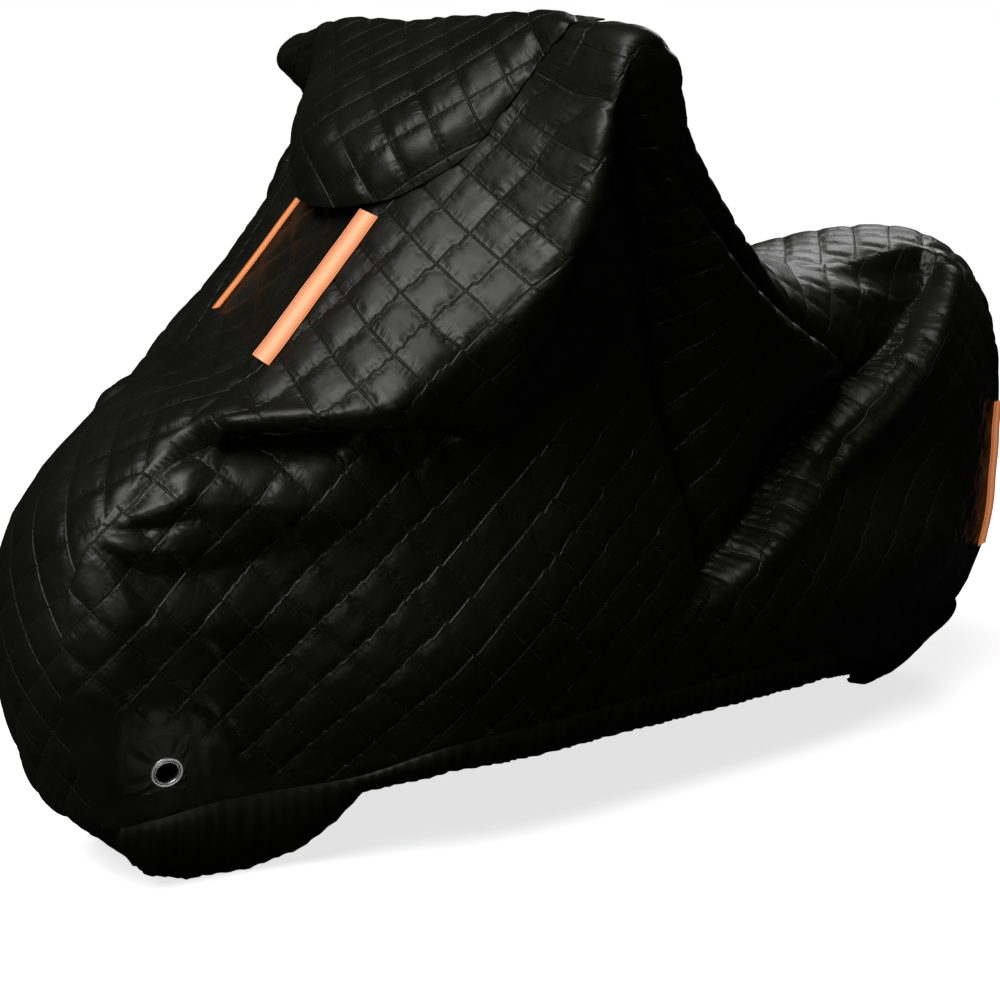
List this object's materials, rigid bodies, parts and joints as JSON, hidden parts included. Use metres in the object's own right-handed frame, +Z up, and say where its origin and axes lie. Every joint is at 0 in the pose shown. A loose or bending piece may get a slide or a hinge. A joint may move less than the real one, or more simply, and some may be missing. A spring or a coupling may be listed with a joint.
{
  "type": "quilted motorcycle cover",
  "caption": "Fitted quilted cover that drapes over a whole motorcycle, with a hood over the handlebar, reflective strips along its seams and a lock eyelet on each side.",
  "frame": {"origin": "on the ground under the middle of the cover's box", "axes": "+X towards the tail, +Y towards the right side of the motorcycle, +Z up"},
  "size_m": [1.9882, 0.9158, 1.2385],
  "materials": {
    "quilted_cloth": "satin",
    "band_cloth": "matte",
    "reflective_strip": "satin",
    "eyelet_steel": "polished"
  },
  "bodies": {
    "root": {"side_panel_left": "quilted_cloth", "side_panel_right": "quilted_cloth", "centre_panel": "quilted_cloth", "hood_panel": "quilted_cloth", "hem_band": "band_cloth", "eyelet_patch_left": "band_cloth", "eyelet_patch_right": "band_cloth", "eyelet_ring_left": "eyelet_steel", "eyelet_ring_right": "eyelet_steel", "front_strip_left": "reflective_strip", "front_strip_right": "reflective_strip", "rear_strip_left": "reflective_strip", "rear_strip_right": "reflective_strip"}
  },
  "joints": []
}
